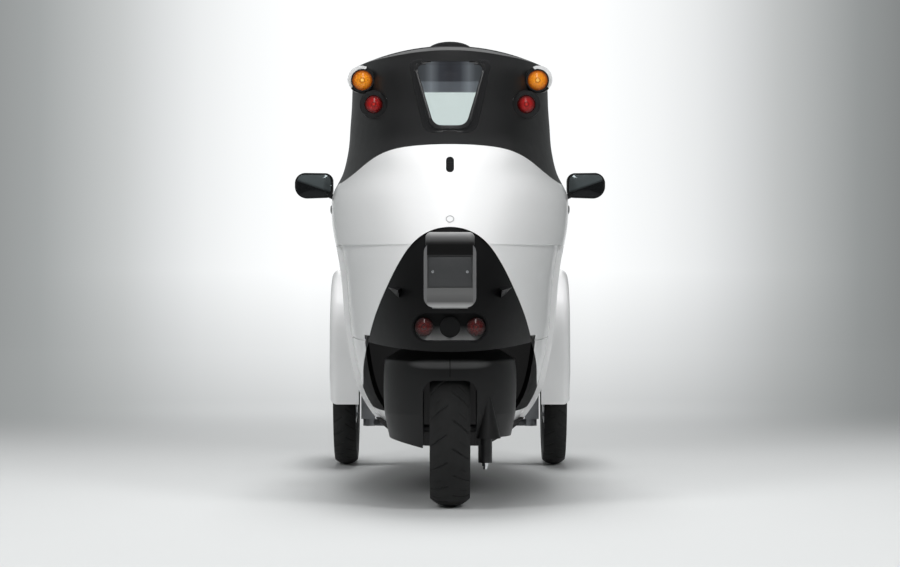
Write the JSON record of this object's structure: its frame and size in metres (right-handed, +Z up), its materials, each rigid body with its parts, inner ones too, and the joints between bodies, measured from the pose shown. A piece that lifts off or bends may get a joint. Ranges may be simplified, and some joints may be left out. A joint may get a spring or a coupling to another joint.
{
  "type": "three wheeled car",
  "caption": "Narrow enclosed tandem-seat electric three wheeled car with two front wheels, a single steered rear wheel, side doors and a glazed cabin.",
  "frame": {"origin": "centre of the whole car's box, on the ground", "axes": "+Y is forward, +X is the car's right-hand side and +Z is up"},
  "size_m": [1.068, 2.3405, 1.445],
  "materials": {
    "white_paint": "gloss",
    "black_gloss": "gloss",
    "black_plastic": "satin",
    "dark_panel": "satin",
    "clear_glass": "clear",
    "tyre": "moulded",
    "rim_black": "satin",
    "frame_black": "satin",
    "arm_alloy": "cast",
    "amber_lens": "ribbed",
    "red_lens": "ribbed",
    "clear_lens": "clear",
    "seat_cloth": "woven"
  },
  "bodies": {
    "body": {"roof_panel": "black_gloss", "cabin_frame": "white_paint", "windscreen": "clear_glass", "rear_cabin_panel": "black_gloss", "rear_trim": "black_gloss", "rear_window": "clear_glass", "rear_body_shell": "white_paint", "plate_panel": "black_gloss", "side_cowls": "black_gloss", "floor_pan": "dark_panel", "nose_panel": "white_paint", "front_mask": "black_gloss", "door_hinges": "frame_black", "front_fender_right": "white_paint", "front_fender_left": "white_paint", "suspension_arms": "arm_alloy", "knuckles": "arm_alloy", "front_subframe": "frame_black", "front_dampers": "frame_black", "amber_lamps": "amber_lens", "red_lamps": "red_lens", "headlamps": "clear_lens", "battery_block": "dark_panel", "front_seat_box": "dark_panel", "front_seat": "seat_cloth", "rear_seat": "seat_cloth", "dashboard": "black_plastic", "steering_column": "frame_black"},
    "front_wheel_right": {"front_tyre_right": "tyre", "front_rim_right": "rim_black"},
    "front_wheel_left": {"front_tyre_left": "tyre", "front_rim_left": "rim_black"},
    "rear_steer": {"rear_cowl": "black_gloss", "rear_fork": "frame_black"},
    "rear_wheel": {"rear_tyre": "tyre", "rear_rim": "rim_black"},
    "door_right": {"door_panel_right": "white_paint", "door_frame_right": "white_paint", "door_glass_right": "clear_glass", "mirror_right": "black_gloss"},
    "door_left": {"door_panel_left": "white_paint", "door_frame_left": "white_paint", "door_glass_left": "clear_glass", "mirror_left": "black_gloss"},
    "steering_wheel": {"steering_wheel": "black_plastic"}
  },
  "joints": [
    {"name": "front_wheel_right_spin", "type": "hinge", "parent": "body", "child": "front_wheel_right", "pos_m": [0.375, 0.875, 0.275], "axis": [1, 0, 0], "continuous": true},
    {"name": "front_wheel_left_spin", "type": "hinge", "parent": "body", "child": "front_wheel_left", "pos_m": [-0.375, 0.875, 0.275], "axis": [1, 0, 0], "continuous": true},
    {"name": "rear_steer", "type": "hinge", "parent": "body", "child": "rear_steer", "pos_m": [0, -0.825, 0.45], "axis": [0, 0, 1], "range_deg": [-33, 33]},
    {"name": "rear_wheel_spin", "type": "hinge", "parent": "rear_steer", "child": "rear_wheel", "pos_m": [0, -0.825, 0.235], "axis": [1, 0, 0], "continuous": true},
    {"name": "door_right_swing", "type": "hinge", "parent": "body", "child": "door_right", "pos_m": [0.309, 0.5025, 0.775], "axis": [0, 0, 1], "range_deg": [0, 65]},
    {"name": "door_left_swing", "type": "hinge", "parent": "body", "child": "door_left", "pos_m": [-0.309, 0.5025, 0.775], "axis": [0, 0, -1], "range_deg": [0, 65]},
    {"name": "steering_wheel_turn", "type": "hinge", "parent": "body", "child": "steering_wheel", "pos_m": [0, 0.4, 0.77], "axis": [0, 0.9063, -0.4226], "range_deg": [-132, 132]}
  ],
  "couplings": [
    {"joint": "steering_wheel_turn", "follows": "rear_steer", "ratio": 4}
  ]
}
